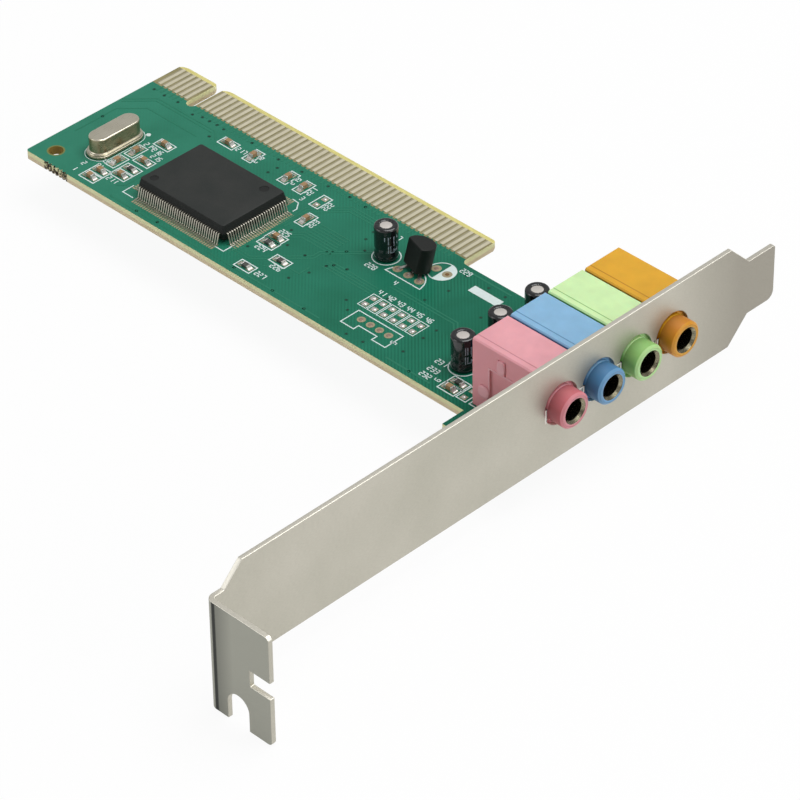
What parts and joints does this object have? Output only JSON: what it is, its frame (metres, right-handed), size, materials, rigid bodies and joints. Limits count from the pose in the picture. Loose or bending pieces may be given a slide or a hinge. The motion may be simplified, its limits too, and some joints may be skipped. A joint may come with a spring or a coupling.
{
  "type": "PCI sound card",
  "caption": "Sound card with a gold edge connector, coloured audio sockets, an audio chip, a crystal and a folded steel slot bracket.",
  "frame": {"origin": "centre of the card's bounding box in X and Y, at the height of the screw tab's lower edge", "axes": "+X along the board and out through the bracket, +Y down the bracket towards its tongue and the edge contacts, +Z out of the component side"},
  "size_m": [0.1266, 0.12, 0.0235],
  "materials": {
    "green_laminate": "satin solder mask on glass laminate",
    "contact_gold": "worn thin gold plate",
    "bracket_steel": "satin plated sheet steel",
    "pink_plastic": "moulded, satin",
    "blue_plastic": "moulded, satin",
    "lime_plastic": "moulded, satin",
    "orange_plastic": "moulded, satin",
    "socket_metal": "bright nickel plate",
    "spring_bronze": "plated spring bronze",
    "chip_black": "matt moulded epoxy",
    "tinned_metal": "dull tin plate",
    "crystal_steel": "bright nickel plate",
    "capacitor_aluminium": "bright drawn aluminium",
    "sleeve_black": "gloss film",
    "regulator_black": "satin moulded epoxy",
    "ceramic_brown": "fired ceramic",
    "resistor_black": "glazed"
  },
  "bodies": {
    "root": {"circuit_board": "green_laminate", "edge_contacts_component_side": "contact_gold", "edge_contacts_solder_side": "contact_gold", "slot_bracket": "bracket_steel", "pink_socket_housing": "pink_plastic", "pink_socket_cover": "pink_plastic", "pink_socket_liner": "socket_metal", "pink_socket_tip_spring": "spring_bronze", "pink_socket_ring_spring": "spring_bronze", "blue_socket_housing": "blue_plastic", "blue_socket_cover": "blue_plastic", "blue_socket_liner": "socket_metal", "blue_socket_tip_spring": "spring_bronze", "blue_socket_ring_spring": "spring_bronze", "lime_socket_housing": "lime_plastic", "lime_socket_cover": "lime_plastic", "lime_socket_liner": "socket_metal", "lime_socket_tip_spring": "spring_bronze", "lime_socket_ring_spring": "spring_bronze", "orange_socket_housing": "orange_plastic", "orange_socket_cover": "orange_plastic", "orange_socket_liner": "socket_metal", "orange_socket_tip_spring": "spring_bronze", "orange_socket_ring_spring": "spring_bronze", "audio_chip_case": "chip_black", "audio_chip_leads": "tinned_metal", "crystal_base": "crystal_steel", "crystal_can": "crystal_steel", "crystal_leads": "tinned_metal", "filter_capacitor_can": "capacitor_aluminium", "filter_capacitor_sleeve": "sleeve_black", "filter_capacitor_leads": "tinned_metal", "output_capacitor_1_can": "capacitor_aluminium", "output_capacitor_1_sleeve": "sleeve_black", "output_capacitor_1_leads": "tinned_metal", "output_capacitor_2_can": "capacitor_aluminium", "output_capacitor_2_sleeve": "sleeve_black", "output_capacitor_2_leads": "tinned_metal", "output_capacitor_3_can": "capacitor_aluminium", "output_capacitor_3_sleeve": "sleeve_black", "output_capacitor_3_leads": "tinned_metal", "regulator_case": "regulator_black", "regulator_leads": "tinned_metal", "ceramic_chip_bodies": "ceramic_brown", "ceramic_chip_ends": "tinned_metal", "resistor_chip_bodies": "resistor_black", "resistor_chip_ends": "tinned_metal"}
  },
  "joints": []
}
